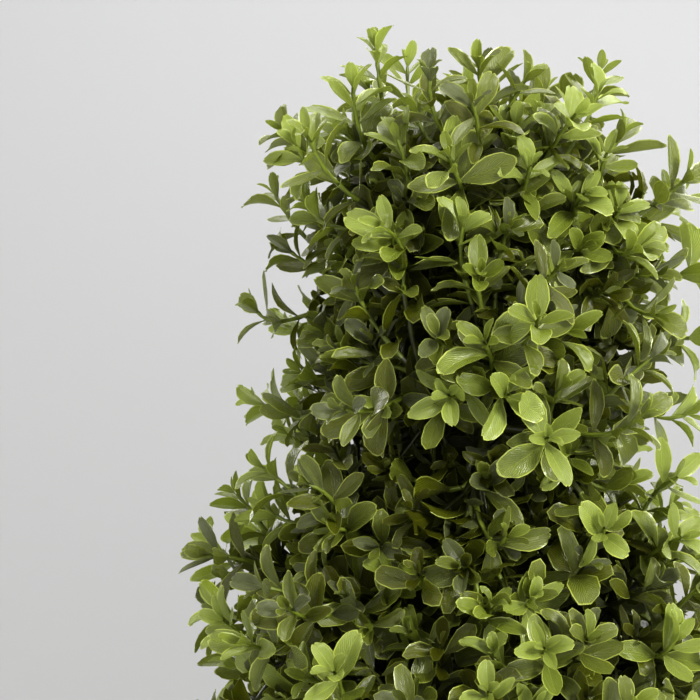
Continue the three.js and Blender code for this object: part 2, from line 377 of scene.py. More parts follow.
class Joined:
    """Many small things of one kind, gathered into one mesh of four-sided faces"""

    def __init__(self):
        self.points, self.faces, self.finishes, self.charts = [], [], [], {}
        self.count = 0

    def add(self, points, faces, charts, finish):
        """Points (n, 3), faces (f, 4), one finish or one for each, and charts as {name: (f, 4, 2)}"""
        self.points.append(points)
        self.faces.append(faces + self.count)
        self.finishes.append(np.full(len(faces), finish, np.int32))
        for name, values in charts.items():
            self.charts.setdefault(name, []).append(values.reshape(-1, 2))
        self.count += len(points)

    def piece(self, name, materials):
        """The joined mesh as an object with its place in its mesh"""
        points, faces = np.concatenate(self.points), np.concatenate(self.faces)
        mesh = bpy.data.meshes.new(name)
        mesh.vertices.add(len(points))
        mesh.vertices.foreach_set("co", points.astype(np.float32).ravel())
        mesh.loops.add(faces.size)
        mesh.loops.foreach_set("vertex_index", faces.astype(np.int32).ravel())
        mesh.polygons.add(len(faces))
        mesh.polygons.foreach_set("loop_start", np.arange(0, faces.size, 4, dtype=np.int32))
        mesh.update(calc_edges=True)
        mesh.polygons.foreach_set("material_index", np.concatenate(self.finishes))
        mesh.polygons.foreach_set("use_smooth", np.ones(len(faces), bool))
        for chart, values in self.charts.items():
            layer = mesh.uv_layers.new(name=chart)
            layer.uv.foreach_set("vector", np.concatenate(values).astype(np.float32).ravel())
        for material in materials:
            mesh.materials.append(material)
        return link(bpy.data.objects.new(name, mesh))


def add_twig(twigs, points, radii, sides, finish, foot_finish=None):
    """A thin tube along a path, its rings shared out evenly on its own map; its foot may differ"""
    _, tangents = on_path(points, path_lengths(points))
    side, over = cross_frame(tangents)
    turn = 2 * math.pi * np.arange(sides) / sides
    ring = np.cos(turn)[None, :, None] * side[:, None] + np.sin(turn)[None, :, None] * over[:, None]
    placed = (points[:, None] + radii[:, None, None] * ring).reshape(-1, 3)
    level, place = (grid.ravel() for grid in np.indices((len(points) - 1, sides)))
    beside = (place + 1) % sides
    low, high = level * sides, (level + 1) * sides
    faces = np.stack([low + place, low + beside, high + beside, high + place], axis=1)
    start, end = level / (len(points) - 1), (level + 1) / (len(points) - 1)
    left, right = place / sides, (place + 1) / sides
    chart = np.stack([left, start, right, start, right, end, left, end], axis=1).reshape(-1, 4, 2)
    finishes = np.where(level == 0, finish if foot_finish is None else foot_finish, finish)
    twigs.add(placed, faces, {"OFBake": chart}, finishes)


# Leaves ---------------------------------------------------------------------------------

# The leaf tints, with how strongly the edge line shows on each and how strongly it reflects.
# They share a map as a sheet of three by two cells, in this order
LEAF_TINTS = {
    "lime": (0.85, 0.8),
    "fresh": (0.80, 0.8),
    "mid": (0.72, 0.85),
    "deep": (0.60, 0.75),
    "grey": (0.45, 0.7),
    # Painted shade: the olive tint, with little edge line and gloss, stands for leaves in the crown's shade
    "olive": (0.22, 0.2),
}
LIME, FRESH, MID, DEEP, GREY, SHADE_OLIVE = range(len(LEAF_TINTS))
CELL_COLUMNS, CELL_ROWS, CELL_INSET = 3, 2, 0.05


class LeafShape(NamedTuple):
    """One of the moulds that leaves come from, in shares of a leaf's length or width"""

    chance: float  # How likely a leaf is to come from it
    breadth: float  # Width, as a share of the usual
    widest: float  # Where it is widest, along it from its stalk
    taper: float  # How pointed it grows from there to its tip
    notch: float  # Depth of the notch in its tip
    skew: float  # How much longer its one side is than the other
    cup: float  # Rise of its sides in a curve
    fold: float  # Rise of its sides from a crease along the midrib
    arch: float  # Rise of its middle over its ends
    recurve: float  # How its outer half curls down
    twist: float  # Turn of its tip about its length, in radians
    bend: float  # How far its tip swings aside


LEAF_SHAPES = (
    LeafShape(0.26, 1.00, 0.56, 0.50, 0.060, 0.03, 0.50, 0.10, 0.04, 0.20, 0.05, 0.02),
    LeafShape(0.22, 0.92, 0.52, 0.66, 0.045, -0.03, 0.20, 0.08, -0.05, 0.10, -0.12, -0.03),
    LeafShape(0.20, 0.84, 0.50, 0.80, 0.030, 0.02, 0.22, 0.42, -0.04, 0.26, 0.16, 0.03),
    LeafShape(0.16, 1.10, 0.60, 0.48, 0.075, -0.04, 0.34, 0.18, 0.06, 0.42, -0.28, 0.05),
    LeafShape(0.16, 0.78, 0.54, 0.58, 0.040, 0.02, 0.42, 0.30, 0.08, 0.05, 0.22, -0.06),
)

# Stations across and along a leaf: at a spray's tip, further down it, and in the shade
FINE, PLAIN, SHADED = 0, 1, 2
STATIONS = {
    FINE: ((-1, -0.66, -0.26, 0, 0.26, 0.66, 1), (0, 0.12, 0.31, 0.51, 0.70, 0.86, 0.95, 1)),
    PLAIN: ((-1, -0.43, 0, 0.43, 1), (0, 0.16, 0.34, 0.51, 0.68, 0.84, 1)),
    SHADED: ((-1, 0, 1), (0, 0.27, 0.54, 0.80, 1)),
}

# What all leaves share: the stalk's width and the curve of the narrow base, how round the tip is, how
# wide its notch, how the crease fades, where the tip starts to curl, and where the edge rolls and how far
STALK, BASE_CURVE, TIP_ROUND, NOTCH_WIDTH = 0.10, 1.55, 0.12, 0.26
FOLD_FADE, CURL_START, ROLL_START, EDGE_ROLL = 0.35, 0.45, 0.66, 0.08


def leaf_half_width(along, shape):
    """Half width of a leaf as a share of its widest, along it from 0 to 1"""
    if along < shape.widest:
        return max(1 - ((shape.widest - along) / shape.widest) ** BASE_CURVE, STALK)
    return (1 - ((along - shape.widest) / (1 - shape.widest)) ** 2) ** shape.taper


def leaf_point(across, along, slimness, shape):
    """A point of a leaf a unit long, its stalk at the origin and its upper face along +Z"""
    wide = slimness * shape.breadth * leaf_half_width(along - TIP_ROUND * along**6, shape)
    notch = shape.notch * max(0.0, 1 - abs(across) / NOTCH_WIDTH)
    x = wide * across
    y = along - (TIP_ROUND * across**2 + shape.skew * across + notch) * along**12
    z = wide * (shape.fold * abs(across) * (1 - FOLD_FADE * along) + shape.cup * across**2)
    z += shape.arch * math.sin(math.pi * along) - shape.recurve * max(along - CURL_START, 0) ** 2
    z -= EDGE_ROLL * wide * max(abs(across) - ROLL_START, 0) / (1 - ROLL_START)
    turn = shape.twist * along
    x, z = x * math.cos(turn) - z * math.sin(turn), x * math.sin(turn) + z * math.cos(turn)
    return x + shape.bend * along**2, y, z


class Leaf:
    """The mesh of one leaf and its own map"""

    def __init__(self, detail, shape, slimness):
        across, along = STATIONS[detail]
        bm = bmesh.new()
        bmesh.ops.create_grid(bm, x_segments=len(across) - 1, y_segments=len(along) - 1, size=0.5)
        columns = [round((vert.co.x + 0.5) * (len(across) - 1)) for vert in bm.verts]
        rows = [round((vert.co.y + 0.5) * (len(along) - 1)) for vert in bm.verts]
        placed = [(across[column], along[row]) for column, row in zip(columns, rows)]
        self.faces = np.array([[vert.index for vert in face.verts] for face in bm.faces])
        bm.free()
        # The columns beside a plain leaf's midrib stand too far out for a notch
        form = LEAF_SHAPES[shape]._replace(notch=0.0) if detail == PLAIN else LEAF_SHAPES[shape]
        self.points = np.array([leaf_point(*place, slimness, form) for place in placed])
        self.chart = np.array([(0.5 + 0.5 * a, b) for a, b in placed])[self.faces]


def cell_chart(chart, tint):
    """A leaf's own map, moved into the tint's cell of the shared sheet"""
    cell = np.array((tint % CELL_COLUMNS, tint // CELL_COLUMNS))
    return (CELL_INSET + (1 - 2 * CELL_INSET) * chart + cell) / (CELL_COLUMNS, CELL_ROWS)


class Leaves:
    """Leaves waiting to be joined: where each grows, its scaled axes, and its detail, shape and tint"""

    def __init__(self):
        self.roots, self.axes, self.kinds = [], [], []

    def add(self, roots, axes, kinds):
        self.roots.append(roots)
        self.axes.append(axes)
        self.kinds.append(kinds)

    def join(self, patterns):
        roots, axes, kinds = (np.concatenate(part) for part in (self.roots, self.axes, self.kinds))
        joined = Joined()
        for detail, shape, tint in np.unique(kinds, axis=0):
            alike = (kinds == (detail, shape, tint)).all(axis=1)
            leaf = patterns[detail, shape]
            points = np.einsum("pk,nkj->npj", leaf.points, axes[alike]) + roots[alike][:, None]
            offsets = np.arange(len(points))[:, None, None] * len(leaf.points)
            chart = np.tile(leaf.chart, (len(points), 1, 1))
            charts = {"OFBake": cell_chart(chart, tint), "leaf": chart}
            joined.add(points.reshape(-1, 3), (leaf.faces + offsets).reshape(-1, 4), charts, tint)
        return joined


# Growth ---------------------------------------------------------------------------------

# Pairs of leaves from a spray's tip inwards: distance from the tip as a share of the leafy
# length, leaf length as a share of the largest, and lean from the twig in degrees
PAIRS = np.array(
    (
        (0.00, 0.50, 26),
        (0.06, 0.76, 42),
        (0.15, 0.97, 55),
        (0.29, 1.00, 63),
        (0.45, 0.97, 69),
        (0.63, 0.92, 75),
        (0.81, 0.86, 80),
        (1.00, 0.76, 84),
    )
)

# Places between the outer pairs, where the twig is thin again
KNOT_GAPS = (PAIRS[1:5, 0] + PAIRS[2:6, 0]) / 2

# Tints of those pairs for each kind of spray, from the youngest to the most shaded; the olive that the later
# kinds and lower pairs get is painted shade
SPRAYS = (
    (LIME, LIME, LIME, FRESH, MID, MID, DEEP, DEEP),
    (FRESH, FRESH, FRESH, MID, MID, DEEP, DEEP, GREY),
    (FRESH, MID, MID, MID, DEEP, DEEP, GREY, GREY),
    (MID, GREY, MID, DEEP, DEEP, GREY, SHADE_OLIVE, SHADE_OLIVE),
    (DEEP, SHADE_OLIVE, DEEP, SHADE_OLIVE, GREY, SHADE_OLIVE, SHADE_OLIVE, SHADE_OLIVE),
)

# The shares of the kinds: outside, of what the youngest leave, and inside, of all from the third on
OUTER_SHARES, INNER_SHARES = (0.38, 0.42), (0.2, 0.4)

# Where the front of the crown stands back: turn from +X in degrees, depth below the top, and radius
HOLLOWS = ((-95, 0.216, 0.040), (-113, 0.128, 0.022), (-121, 0.214, 0.020), (-101, 0.268, 0.024))

# The layers of sprays, the size of each one's leaves, and the share of the way to its tips that its
# branches reach before the sprays take over
OUTER, INNER, CORE = 0, 1, 2
LAYER_LEAVES, LAYER_BRANCHES = (1.0, 1.0, 1.35), (0.56, 0.50, 0.50)

# Random points on the skin of each mass, the room for tips in a layer, and about how many sprays a
# branch bears
SKIN_POINTS, MOST_TIPS, BRANCH_SPRAYS = 2600, 4000, 7

# The finishes of a piece of twigs, and the sides of the frame's boughs
STEM_FINISH, SHOOT_FINISH = 0, 1
BOUGH_SIDES = 6


def skin_points(node, amount, draw):
    """Random points on a mass, evenly over its area, with the normals of their faces"""
    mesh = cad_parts[node].data
    mesh.calc_loop_triangles()
    corners = np.array([vert.co for vert in mesh.vertices])
    a, b, c = corners[np.array([list(face.vertices) for face in mesh.loop_triangles])].transpose(1, 0, 2)
    normals = np.cross(b - a, c - a)
    areas = np.linalg.norm(normals, axis=1)
    picked = draw.choice(len(areas), amount, p=areas / areas.sum())
    s, t = draw.random((2, amount, 1))
    s, t = np.where(s + t > 1, 1 - s, s), np.where(s + t > 1, 1 - t, t)
    return a[picked] + s * (b - a)[picked] + t * (c - a)[picked], unit(normals[picked])


def outward(points):
    """The way out of the crown at each point: level on the flank, turning up over the dome"""
    dome = 0.105
    rise = np.maximum(points[:, 2] - (CROWN_TOP - dome), 0.0)
    return unit(np.stack([points[:, 0], points[:, 1], rise], axis=1))


class Spread:
    """Picks tips that keep their distance from all those picked before, in any mass"""

    def __init__(self, spacing):
        self.spacing, self.taken, self.count = spacing, np.full((MOST_TIPS, 3), np.inf), 0

    def pick(self, points):
        kept = []
        for index, point in enumerate(points):
            apart = np.sum((self.taken[: self.count] - point) ** 2, axis=1)
            if not self.count or apart.min() > self.spacing**2:
                self.taken[self.count] = point
                self.count += 1
                kept.append(index)
        return kept


def limb_ends(node):
    """The middles of a limb's root and of its end: its rings nearest the axis and furthest from it"""
    corners = np.unique(np.round([vert.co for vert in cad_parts[node].data.vertices], 6), axis=0)
    corners = corners[np.argsort(np.hypot(corners[:, 0], corners[:, 1]))]
    return corners[:BOUGH_SIDES].mean(axis=0), corners[-BOUGH_SIDES:].mean(axis=0)


def foliage_root(name):
    """Where a mass's branches start, and their first way: its bough's end, or the stem's tip"""
    if name == "crest":
        return np.array(stem_rings()[-1][0]), UP
    end = limb_ends(f"bough_{name}")[1]
    return end, unit(end * (1, 1, 0))


def clusters(points, size, draw):
    """Splits points into groups of neighbours, of about a size"""
    count = max(1, round(len(points) / size))
    middles = points[draw.choice(len(points), count, replace=False)]
    for _ in range(8):
        nearest = np.argmin(np.linalg.norm(points[:, None] - middles, axis=2), axis=1)
        own = [nearest == number for number in range(count)]
        middles = np.array([points[o].mean(axis=0) if o.any() else m for o, m in zip(own, middles)])
    return [np.flatnonzero(o) for o in own if o.any()]


def boldness(points, settings):
    """How the crown grows at points of its skin, from -1 in its hollows to 1 on its bosses"""
    shift = Vector((0, 0, 10 * settings.seed))
    bold = np.array([1.8 * noise.noise(Vector(point / settings.boss_size) + shift) for point in points])
    for turn, depth, radius in HOLLOWS:
        way = np.array((math.cos(math.radians(turn)), math.sin(math.radians(turn))))
        ahead, aside = points[:, :2] @ way, points[:, 1] * way[0] - points[:, 0] * way[1]
        apart = np.hypot(aside, points[:, 2] - (CROWN_TOP - depth)) / radius
        hollow = np.where(ahead > 0, np.exp(-(apart**3)), 0)
        bold = bold * (1 - hollow) - hollow
    return np.clip(bold, -1, 1)


class Growth:
    """The leaves and twigs of one mass, as they grow from the end of its bough"""

    def __init__(self, name, draw, settings):
        self.root, self.root_way = foliage_root(name)
        self.leaves, self.twigs = Leaves(), Joined()
        self.draw, self.settings = draw, settings

    def set_leaves(self, at, along, out, sizes, leans, details, tints):
        """Sets leaves beside a twig, their upper faces towards its tip"""
        count, draw = len(at), self.draw
        tilt = np.radians(leans + draw.normal(0, 10, count))[:, None]
        way = np.cos(tilt) * along + np.sin(tilt) * out
        face = np.sin(tilt) * along - np.cos(tilt) * out
        roll = draw.normal(0, 0.2, count)[:, None]
        wide = np.cross(way, face)
        wide, face = np.cos(roll) * wide + np.sin(roll) * face, np.cos(roll) * face - np.sin(roll) * wide
        long = (self.settings.leaf_length * sizes * draw.uniform(0.78, 1.08, count))[:, None]
        slim = draw.uniform(0.86, 1.14, count)[:, None]
        axes = np.stack([wide * long * slim, way * long, face * long], axis=1)
        shapes = draw.choice(len(LEAF_SHAPES), count, p=[shape.chance for shape in LEAF_SHAPES])
        self.leaves.add(at + 0.5 * MM * out, axes, np.stack([details, shapes, tints], axis=1))

    def set_pairs(self, path, kind, details, size, leafy):
        """Sets crossed pairs of leaves along the outer end of a twig"""
        total = path_lengths(path)[-1]
        places = total - PAIRS[:, 0] * leafy
        count = int(np.count_nonzero(places > 0.2 * total))
        at, along = on_path(path, places[:count])
        side, over = cross_frame(along)
        number = np.arange(count)
        turn = self.draw.uniform(0, math.pi) + number * math.pi / 2 + self.draw.normal(0, 0.18, count)
        out = np.cos(turn)[:, None] * side + np.sin(turn)[:, None] * over
        sizes, leans = np.tile(PAIRS[:count, 1] * size, 2), np.tile(PAIRS[:count, 2], 2)
        details, tints = np.tile(details[:count], 2), np.tile(SPRAYS[kind][:count], 2)
        both_at, both_along = np.tile(at, (2, 1)), np.tile(along, (2, 1))
        self.set_leaves(both_at, both_along, np.concatenate([out, -out]), sizes, leans, details, tints)

    def grow_spray(self, start, start_way, tip, way, kind, layer):
        """One twig from a branch to its tip, with its leaves"""
        reach = np.linalg.norm(tip - start)
        path = bezier(start, start + 0.35 * reach * start_way, tip - 0.45 * reach * way, tip, 12)
        total, size = path_lengths(path)[-1], self.draw.uniform(0.86, 1.08)
        leafy = self.settings.leafy_length * size * self.draw.uniform(0.94, 1.06)
        if layer == OUTER:
            details, sides, finish = [FINE] * 3 + [PLAIN] * 3 + [SHADED] * 2, 5, SHOOT_FINISH
            shares = np.concatenate(([total / leafy], np.sort(np.append(PAIRS[:6, 0], KNOT_GAPS))[::-1]))
            places = np.maximum(total - shares * leafy, 0.0)
            foot, thinning, knot = 1.25, 0.6, 0.35
            radii = (foot - thinning * places / total + knot * np.isin(shares, PAIRS[1:6, 0])) * MM
        else:
            details, sides, finish, rings = [SHADED] * len(PAIRS), 3, STEM_FINISH, 4
            places, radii = np.linspace(0, total, rings), np.linspace(1.3, 0.9, rings) * MM
        add_twig(self.twigs, on_path(path, places)[0], radii, sides, finish, STEM_FINISH)
        self.set_pairs(path, kind, details, size * LAYER_LEAVES[layer], leafy)

    def add_hook(self, at, along):
        """A hooked stub that the moulding leaves beside a branch"""
        side = unit(np.cross(along, self.draw.normal(size=3)))
        bend, radii = 3.6 * MM, np.array((1.5, 1.6, 1.6, 1.6, 1.5, 1.2, 0.1)) * MM
        turn = np.linspace(0, 0.8 * math.pi, len(radii))[:, None]
        points = at + bend * (1.5 * np.sin(turn) * side + (1 - np.cos(turn)) * along)
        add_twig(self.twigs, points, radii, 6, STEM_FINISH)

    def grow_branch(self, tips, ways, kinds, layer):
        """One branch towards a cluster of tips, and the sprays that it bears"""
        root, root_way, draw = self.root, self.root_way, self.draw
        way_out = tips.mean(axis=0) - root
        end = root + LAYER_BRANCHES[layer] * way_out
        root_radius, end_radius, knot, rings = 2.2, 1.4, 0.5, 12
        branch = bezier(root, root + 0.25 * way_out + 6 * MM * root_way, end - 0.2 * way_out, end, rings)
        total, knots = path_lengths(branch)[-1], knot * (np.arange(rings) % 3 == 1)
        radii = (np.linspace(root_radius, end_radius, rings) + knots) * MM
        add_twig(self.twigs, branch, radii, 6, STEM_FINISH)
        if layer == OUTER:
            stub, stub_way = on_path(branch, total * draw.uniform(0.4, 0.8, 1))
            self.add_hook(stub[0], stub_way[0])
        starts, alongs = on_path(branch, total * draw.uniform(0.55, 1.0, len(tips)))
        for start, along, tip, way, kind in zip(starts, alongs, tips, ways, kinds):
            stray = unit(draw.normal(size=3))
            tip_way = unit(0.8 * way + 0.45 * UP + 0.42 * stray)
            start_way = unit(0.6 * along + 0.6 * unit(way_out) + 0.3 * stray)
            self.grow_spray(start, start_way, tip, tip_way, kind, layer)

    def grow_layer(self, layer, spread, points, ways):
        """The sprays of one layer: outside, inside or round the stem"""
        draw, settings = self.draw, self.settings
        kept = spread.pick(points)
        # Painted shade: the core and inner sprays take only the darker kinds of tint
        if layer == CORE:
            depth = settings.core_depth * draw.uniform(0.8, 1.2, len(kept))
            kinds = np.full(len(kept), len(SPRAYS) - 1)
        elif layer == INNER:
            depth = settings.inner_depth * draw.uniform(0.7, 1.35, len(kept))
            kinds = 2 + np.searchsorted(np.cumsum(INNER_SHARES), draw.random(len(kept)))
        else:
            bold = boldness(points[kept], settings)
            grown = draw.random(len(kept)) > -settings.hollow_gaps * bold
            kept, bold = np.array(kept)[grown], bold[grown]
            depth = settings.raggedness * draw.random(len(kept)) ** 0.9 - settings.reach
            depth += settings.hollow_depth * np.maximum(-bold, 0)
            # Painted shade in the hollows: the bolder a place, the more lime its sprays get; the deeper the
            # hollow, the darker their tints
            shares = (settings.fresh_share, *((1 - settings.fresh_share) * np.array(OUTER_SHARES)))
            kinds = np.searchsorted(np.cumsum(shares), draw.random(len(kept)) - settings.patchiness * bold)
        tips, ways = points[kept] - depth[:, None] * ways[kept], ways[kept]
        for members in clusters(tips, BRANCH_SPRAYS, draw):
            self.grow_branch(tips[members], ways[members], kinds[members], layer)


def grow_mass(name, spreads, draw, settings):
    """All the leaves and twigs of one mass"""
    growth = Growth(name, draw, settings)
    points, normals = skin_points(f"mass_{name}", SKIN_POINTS, draw)
    ways = outward(points)
    hem_height, hem_share, facing_down, facing_out = 0.02, 0.35, -0.6, 0.32
    underside = (normals[:, 2] < facing_down) & (points[:, 2] < CROWN_BOTTOM + hem_height)
    hem = underside & (draw.random(len(points)) < hem_share)
    open_air = (np.sum(ways * normals, axis=1) > facing_out) | hem
    for layer, spread in zip((OUTER, INNER, CORE), spreads):
        growth.grow_layer(layer, spread, points[open_air], ways[open_air])
    return growth.leaves, growth.twigs


# Stem and boughs ------------------------------------------------------------------------


def stem_rings():
    """The middle and mean radius of each ring of the frame's stem, from its foot up"""
    corners = np.round([vert.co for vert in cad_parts["trunk"].data.vertices], 5)
    rings = []
    for height in np.unique(corners[:, 2]):
        ring = np.unique(corners[corners[:, 2] == height], axis=0)
        middle = ring.mean(axis=0)
        rings.append((middle, np.linalg.norm(ring - middle, axis=1).mean()))
    return rings


def limb(bm, path, sides, rings, radius_at):
    """Adds a closed limb along a path, its radius given by a function of distance and turn"""
    part = bmesh.new()
    bmesh.ops.create_cone(part, cap_ends=True, segments=sides, radius1=1, radius2=1, depth=1)
    walls = [edge for edge in part.edges if abs(edge.verts[0].co.z - edge.verts[1].co.z) > 0.5]
    bmesh.ops.subdivide_edges(part, edges=walls, cuts=rings, use_grid_fill=True)
    total = path_lengths(path)[-1]
    places = np.array([vert.co for vert in part.verts])
    turns, distances = np.arctan2(places[:, 1], places[:, 0]), (places[:, 2] + 0.5) * total
    at, along = on_path(path, distances)
    side, over = cross_frame(along)
    radial = np.cos(turns)[:, None] * side + np.sin(turns)[:, None] * over
    for vert, middle, way, distance, turn in zip(part.verts, at, radial, distances, turns):
        vert.co = Vector(middle + radius_at(distance, turn) * way)
    mesh = bpy.data.meshes.new("limb")
    part.to_mesh(mesh)
    part.free()
    bm.from_mesh(mesh)
    bpy.data.meshes.remove(mesh)


def bough_path(root, end):
    """A bough leaves the stem level, climbs, and is level again where it enters its mass"""
    out = unit((end - root) * (1, 1, 0)) * 0.45 * np.hypot(*(end - root)[:2])
    return bezier(root - 0.15 * out, root + out, end - out, end, 24)


def as_piece(bm, name, material, sharp_degrees=40):
    """A mesh's object, smooth but for the edges sharper than an angle"""
    bmesh.ops.recalc_face_normals(bm, faces=bm.faces)
    for face in bm.faces:
        face.smooth = True
    for edge in bm.edges:
        edge.smooth = len(edge.link_faces) == 2 and edge.calc_face_angle() < math.radians(sharp_degrees)
    mesh = bpy.data.meshes.new(name)
    bm.to_mesh(mesh)
    bm.free()
    mesh.materials.append(material)
    return link(bpy.data.objects.new(name, mesh))


def assign(piece, *nodes, slot):
    """Puts a piece on the plant's one body, in place of its nodes; its slot is not used"""
    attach(piece, "root")
    if nodes:
        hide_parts(*nodes)
    return piece


# Operators ------------------------------------------------------------------------------


class TOPIARY_OT_foliage(bpy.types.Operator):
    """Grows leaves and twigs from every bough's end and fills out each mass"""

    bl_idname = "topiary.foliage"
    bl_label = "Foliage"

    def execute(self, context):
        settings, colours = context.scene.topiary_foliage, context.scene.topiary_colours
        draw = np.random.default_rng(settings.seed)
        patterns = {
            (detail, shape): Leaf(detail, shape, settings.leaf_slimness)
            for detail in STATIONS
            for shape in range(len(LEAF_SHAPES))
        }
        blades = [
            leaf_finish(f"leaf_{tint}", getattr(colours, tint), colours.edge, *shares)
            for tint, shares in LEAF_TINTS.items()
        ]
        barks = [
            moulded_finish(f"twig_{name}", getattr(colours, name), TWIG_MOULDING, own_map=True)
            for name in ("stem", "shoot")
        ]
        spacings = settings.outer_spacing, settings.inner_spacing, settings.core_spacing
        spreads = [Spread(spacing) for spacing in spacings]
        for node in MASS_NODES:
            name = node.removeprefix("mass_")
            leaves, twigs = grow_mass(name, spreads, draw, settings)
            assign(leaves.join(patterns).piece(f"leaves_{name}", blades), node, slot="foliage")
            assign(twigs.piece(f"twigs_{name}", barks), slot="bough")
        return {"FINISHED"}


class TOPIARY_OT_stem(bpy.types.Operator):
    """Makes the moulded stem, with its ridges and the sockets that the boughs plug into"""

    bl_idname = "topiary.stem"
    bl_label = "Stem"

    def execute(self, context):
        colours = context.scene.topiary_colours
        rings = stem_rings()
        path = np.array([middle for middle, _ in rings])
        lengths, radii = path_lengths(path), [radius for _, radius in rings]
        sockets = [limb_ends(node)[0][2] - path[0][2] for node in BOUGH_NODES]
        socket_reach, socket_rise = 9 * MM, 2.2 * MM
        ridges, ridge_depth, pitch, knot_depth = 5, 0.7 * MM, 0.21, 1.1 * MM

        def radius_at(distance, turn):
            nearest = min(abs(distance - socket) for socket in sockets)
            collar = socket_rise * max(0.0, 1 - (nearest / socket_reach) ** 2)
            ridge = ridge_depth * math.cos(ridges * turn + 2 * math.pi * distance / pitch)
            around = Vector((2 * math.cos(turn), 2 * math.sin(turn), 60 * distance))
            return np.interp(distance, lengths, radii) + collar + ridge + knot_depth * noise.noise(around)

        bm = bmesh.new()
        limb(bm, path, 40, 260, radius_at)
        finish = moulded_finish("stem_bark", colours.stem, STEM_MOULDING)
        assign(as_piece(bm, "stem_bark", finish), "trunk", slot="trunk")
        return {"FINISHED"}


class TOPIARY_OT_boughs(bpy.types.Operator):
    """Makes the knotted boughs from the stem to every mass of foliage"""

    bl_idname = "topiary.boughs"
    bl_label = "Boughs"

    def execute(self, context):
        colours = context.scene.topiary_colours
        root_radius, end_radius = 4.6 * MM, 2.6 * MM
        knot_gap, knot_depth, ridges, ridge_depth = 16 * MM, 0.7 * MM, 3, 0.35 * MM
        bm = bmesh.new()
        for node in BOUGH_NODES:
            path = bough_path(*limb_ends(node))
            total = path_lengths(path)[-1]

            def radius_at(distance, turn):
                taper = np.interp(distance, (0, total), (root_radius, end_radius))
                knot = knot_depth * max(0.0, math.cos(2 * math.pi * distance / knot_gap)) ** 6
                return taper + knot + ridge_depth * math.cos(ridges * turn)

            limb(bm, path, 12, 34, radius_at)
        finish = moulded_finish("bough_bark", colours.stem, BOUGH_MOULDING)
        assign(as_piece(bm, "bough_bark", finish), *BOUGH_NODES, slot="bough")
        return {"FINISHED"}


def spun(outline, steps):
    """The surface of an outline, given as radius and height, turned round the axis"""
    bm = bmesh.new()
    verts = [bm.verts.new((radius, 0.0, height)) for radius, height in outline]
    edges = [bm.edges.new(pair) for pair in zip(verts, verts[1:])]
    bmesh.ops.spin(
        bm, geom=verts + edges, axis=(0, 0, 1), cent=(0, 0, 0), angle=2 * math.pi, steps=steps, use_merge=True
    )
    bmesh.ops.remove_doubles(bm, verts=bm.verts, dist=1e-6)
    return bm


class TOPIARY_OT_pot(bpy.types.Operator):
    """Makes the pot, with its rim band and hollow foot"""

    bl_idname = "topiary.pot"
    bl_label = "Pot"

    def execute(self, context):
        sizes, colours = context.scene.topiary_pot, context.scene.topiary_colours
        low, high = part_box("pot")
        rim, foot = high.x, sizes.foot_radius
        mouth = rim - sizes.rim_step
        band = high.z - sizes.rim_depth
        under_band = foot + (mouth - foot) * (band - low.z) / (high.z - low.z)
        outline = [
            (0, sizes.foot_rise),
            (foot - sizes.foot_width, sizes.foot_rise),
            (foot - sizes.foot_width, low.z),
            (foot, low.z),
            (under_band, band),
            (under_band + sizes.rim_step, band),
            (rim, high.z),
            (mouth - sizes.wall, high.z),
            (foot - sizes.wall, sizes.floor),
            (0, sizes.floor),
        ]
        bm = spun(outline, 128)
        bmesh.ops.recalc_face_normals(bm, faces=bm.faces)
        least_corner = math.radians(25)
        edges = [edge for edge in bm.edges if edge.calc_face_angle(0) > least_corner]
        bmesh.ops.bevel(
            bm, geom=edges, offset=sizes.edge, segments=3, profile=0.5, affect="EDGES", material=-1
        )
        finish = moulded_finish("pot_plastic", colours.pot, POT_MOULDING)
        assign(as_piece(bm, "pot_shell", finish, sharp_degrees=60), "pot", slot="pot")
        return {"FINISHED"}


class TOPIARY_OT_fill(bpy.types.Operator):
    """Makes the crumbly fill that holds the stem in the pot"""

    bl_idname = "topiary.fill"
    bl_label = "Fill"

    def execute(self, context):
        colours = context.scene.topiary_colours
        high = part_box("pot_fill")[1]
        radius, crumbs, lumps, lumpiness = high.x, 900, 70, 2.5 * MM
        bm = bmesh.new()
        bmesh.ops.create_circle(bm, cap_ends=True, cap_tris=True, segments=64, radius=radius)
        bmesh.ops.subdivide_edges(bm, edges=bm.edges, cuts=5, use_grid_fill=True)
        for vert in bm.verts:
            lump = lumpiness * noise.fractal(Vector(vert.co) * lumps, 0.6, 2.0, 4)
            vert.co.z = high.z - lumpiness + lump
        draw = np.random.default_rng(11)
        for _ in range(crumbs):
            away, turn = radius * math.sqrt(draw.random()) * 0.985, draw.uniform(0, 2 * math.pi)
            size = draw.uniform(1.2, 3.4) * MM
            shape = Matrix.Diagonal((size, size * draw.uniform(0.5, 1), size * draw.uniform(0.4, 0.8), 1))
            place = Matrix.Translation((away * math.cos(turn), away * math.sin(turn), high.z - lumpiness))
            spin = Matrix.Rotation(draw.uniform(0, 6.28), 4, Vector(draw.normal(size=3)).normalized())
            bmesh.ops.create_icosphere(bm, subdivisions=1, radius=1, matrix=place @ spin @ shape)
        finish = moulded_finish("fill_crumbs", colours.soil, FILL_MOULDING)
        assign(as_piece(bm, "fill_crumbs", finish, sharp_degrees=180), "pot_fill", slot="fill")
        return {"FINISHED"}


def paper(tone):
    """A grey a little on the cool side, which the warm light evens out"""
    return rgba((tone, tone * 1.01, tone * 1.06))


